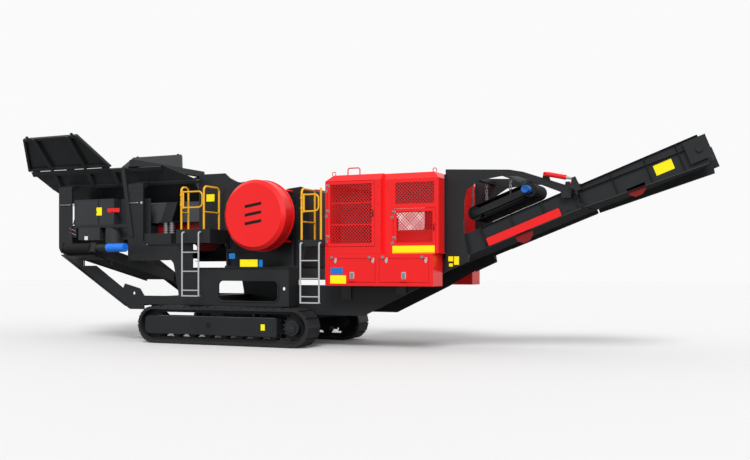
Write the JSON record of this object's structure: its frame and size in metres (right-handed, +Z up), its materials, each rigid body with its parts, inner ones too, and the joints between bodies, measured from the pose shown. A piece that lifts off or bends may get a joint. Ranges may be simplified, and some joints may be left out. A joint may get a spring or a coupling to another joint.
{
  "type": "mobile jaw crusher",
  "caption": "Tracked mobile jaw crusher with feed hopper, grizzly feeder, guarded flywheels, red power pack, folding discharge conveyor, overband magnet and side conveyor",
  "frame": {"origin": "on the ground, midway between the two tracks and midway along them", "axes": "+X along the machine from the feed hopper to the discharge conveyor, +Y to its left, +Z up"},
  "size_m": [14.4719, 3.8453, 4.4266],
  "materials": {
    "black_paint": "satin",
    "red_paint": "gloss",
    "yellow_paint": "satin",
    "grey_paint": "satin",
    "light_paint": "satin",
    "blue_paint": "satin",
    "track_steel": "worn",
    "cast": "matt",
    "belt_rubber": "matt",
    "bright_steel": "polished",
    "bare_steel": "brushed"
  },
  "bodies": {
    "machine": {"boom_belt": "belt_rubber", "boom_frame": "black_paint", "boom_rollers": "grey_paint", "bypass_chute": "red_paint", "cabinets": "grey_paint", "centre_frame": "black_paint", "chassis_sides": "black_paint", "conveyor_arms": "black_paint", "cross_members": "black_paint", "crusher_frame": "black_paint", "crusher_inlet": "black_paint", "engine_and_coolers": "cast", "feeder": "black_paint", "feeder_skirts": "grey_paint", "feeder_springs": "bare_steel", "flywheel_guards": "red_paint", "handrails": "yellow_paint", "hopper": "black_paint", "hopper_tie": "black_paint", "hose_tank": "black_paint", "jaws": "cast", "ladders": "light_paint", "magnet_belt": "belt_rubber", "magnet_chains": "bare_steel", "magnet_frame": "black_paint", "magnet_motor": "blue_paint", "pack_hinges": "bare_steel", "pack_housing": "red_paint", "pack_lockers": "red_paint", "platforms": "black_paint", "side_tail_belt": "belt_rubber", "side_tail_frame": "black_paint", "track_drives": "black_paint", "track_frames": "black_paint", "track_loops": "track_steel", "track_rollers": "track_steel", "track_sprockets": "track_steel", "valve_bank": "black_paint"},
    "wing_right": {"wing_right": "black_paint"},
    "wing_left": {"wing_left": "black_paint"},
    "flywheels": {"flywheels": "cast"},
    "conveyor_head": {"head_frame": "black_paint", "head_belt": "belt_rubber"},
    "side_head": {"side_head_frame": "black_paint", "side_head_belt": "belt_rubber", "side_motor": "blue_paint"},
    "rear_gate": {"rear_gate": "yellow_paint"},
    "front_gate": {"front_gate": "yellow_paint"},
    "lift_barrel_right": {"lift_barrel_right": "red_paint"},
    "lift_rod_right": {"lift_rod_right": "bright_steel"},
    "engine_door_right": {"engine_door_right": "red_paint"},
    "cooler_door_right": {"cooler_door_right": "red_paint"},
    "rear_lid_right": {"rear_lid_right": "red_paint"},
    "front_lid_right": {"front_lid_right": "red_paint"},
    "lift_barrel_left": {"lift_barrel_left": "red_paint"},
    "lift_rod_left": {"lift_rod_left": "bright_steel"},
    "engine_door_left": {"engine_door_left": "red_paint"},
    "cooler_door_left": {"cooler_door_left": "red_paint"},
    "rear_lid_left": {"rear_lid_left": "red_paint"},
    "front_lid_left": {"front_lid_left": "red_paint"}
  },
  "joints": [
    {"name": "wing_fold_right", "type": "hinge", "parent": "machine", "child": "wing_right", "pos_m": [-4, -1.235, 3.75], "axis": [-1, 0, 0], "range_deg": [0, 120]},
    {"name": "wing_fold_left", "type": "hinge", "parent": "machine", "child": "wing_left", "pos_m": [-4, 1.235, 3.75], "axis": [1, 0, 0], "range_deg": [0, 120]},
    {"name": "conveyor_fold", "type": "hinge", "parent": "machine", "child": "conveyor_head", "pos_m": [7, 0, 2.99], "axis": [0, -1, 0], "range_deg": [0, 65]},
    {"name": "side_conveyor_fold", "type": "hinge", "parent": "machine", "child": "side_head", "pos_m": [-3.22, -1.4, 2.01], "axis": [-1, 0, 0], "range_deg": [0, 62]},
    {"name": "flywheel_spin", "type": "hinge", "parent": "machine", "child": "flywheels", "pos_m": [0.852, 0, 2.6], "axis": [0, 1, 0], "continuous": true},
    {"name": "engine_door_right_swing", "type": "hinge", "parent": "machine", "child": "engine_door_right", "pos_m": [2.437, -1.409, 2.5], "axis": [0, 0, -1], "range_deg": [0, 90]},
    {"name": "cooler_door_right_swing", "type": "hinge", "parent": "machine", "child": "cooler_door_right", "pos_m": [3.757, -1.309, 2.3], "axis": [0, 0, -1], "range_deg": [0, 90]},
    {"name": "rear_lid_right_lift", "type": "hinge", "parent": "machine", "child": "rear_lid_right", "pos_m": [2.96, -1.409, 1.733], "axis": [-1, 0, 0], "range_deg": [0, 85]},
    {"name": "front_lid_right_lift", "type": "hinge", "parent": "machine", "child": "front_lid_right", "pos_m": [4.007, -1.409, 1.733], "axis": [-1, 0, 0], "range_deg": [0, 85]},
    {"name": "lift_barrel_right_swing", "type": "hinge", "parent": "machine", "child": "lift_barrel_right", "pos_m": [6.52, -0.975, 3.21], "axis": [0, -1, 0], "range_deg": [-7.22, 0.2]},
    {"name": "lift_rod_right_slide", "type": "slide", "parent": "lift_barrel_right", "child": "lift_rod_right", "axis": [0.9776, 0, -0.2107], "range_m": [-0.11014, 0.001]},
    {"name": "engine_door_left_swing", "type": "hinge", "parent": "machine", "child": "engine_door_left", "pos_m": [2.437, 1.409, 2.5], "axis": [0, 0, 1], "range_deg": [0, 90]},
    {"name": "cooler_door_left_swing", "type": "hinge", "parent": "machine", "child": "cooler_door_left", "pos_m": [3.757, 1.309, 2.3], "axis": [0, 0, 1], "range_deg": [0, 90]},
    {"name": "rear_lid_left_lift", "type": "hinge", "parent": "machine", "child": "rear_lid_left", "pos_m": [2.96, 1.409, 1.733], "axis": [1, 0, 0], "range_deg": [0, 85]},
    {"name": "front_lid_left_lift", "type": "hinge", "parent": "machine", "child": "front_lid_left", "pos_m": [4.007, 1.409, 1.733], "axis": [1, 0, 0], "range_deg": [0, 85]},
    {"name": "lift_barrel_left_swing", "type": "hinge", "parent": "machine", "child": "lift_barrel_left", "pos_m": [6.52, 0.975, 3.21], "axis": [0, -1, 0], "range_deg": [-7.22, 0.2]},
    {"name": "lift_rod_left_slide", "type": "slide", "parent": "lift_barrel_left", "child": "lift_rod_left", "axis": [0.9776, 0, -0.2107], "range_m": [-0.11014, 0.001]},
    {"name": "rear_gate_swing", "type": "hinge", "parent": "machine", "child": "rear_gate", "pos_m": [-0.869, -1.47, 2.95], "axis": [0, 0, 1], "range_deg": [0, 75]},
    {"name": "front_gate_swing", "type": "hinge", "parent": "machine", "child": "front_gate", "pos_m": [1.925, -1.47, 2.8], "axis": [0, 0, 1], "range_deg": [0, 75]}
  ],
  "couplings": [
    {"joint": "lift_barrel_right_swing", "follows": "conveyor_fold", "ratio": -0.10795},
    {"joint": "lift_rod_right_slide", "follows": "conveyor_fold", "m_per_rad": -0.096207},
    {"joint": "lift_barrel_left_swing", "follows": "conveyor_fold", "ratio": -0.10795},
    {"joint": "lift_rod_left_slide", "follows": "conveyor_fold", "m_per_rad": -0.096207}
  ]
}
